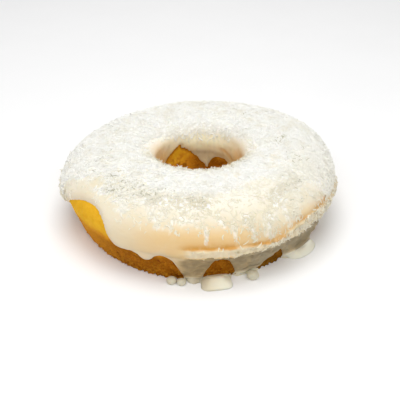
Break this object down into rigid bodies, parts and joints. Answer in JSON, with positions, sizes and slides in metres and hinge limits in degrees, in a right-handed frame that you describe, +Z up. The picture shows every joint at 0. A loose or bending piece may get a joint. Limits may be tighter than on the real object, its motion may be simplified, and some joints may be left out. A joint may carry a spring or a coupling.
{
  "type": "glazed coconut ring cake",
  "caption": "Ring-shaped sponge cake with a domed top and overhanging lip, coated in white icing that drips down its sides, strewn with shredded coconut.",
  "frame": {"origin": "under the middle of the whole cake's bounding box, on the surface that it stands on", "axes": "+Z up, -Y towards the side with the drips and the puddle, +X to the right seen from that side"},
  "size_m": [0.199, 0.1994, 0.0524],
  "materials": {
    "sponge": "open yellow crumb, browned towards the base",
    "icing": "smooth cream-white glaze, slightly translucent",
    "coconut": "dry white shreds"
  },
  "bodies": {
    "root": {"cake": "sponge", "icing": "icing", "icing_drop_1": "icing", "icing_drop_2": "icing", "icing_drop_3": "icing"}
  },
  "joints": []
}
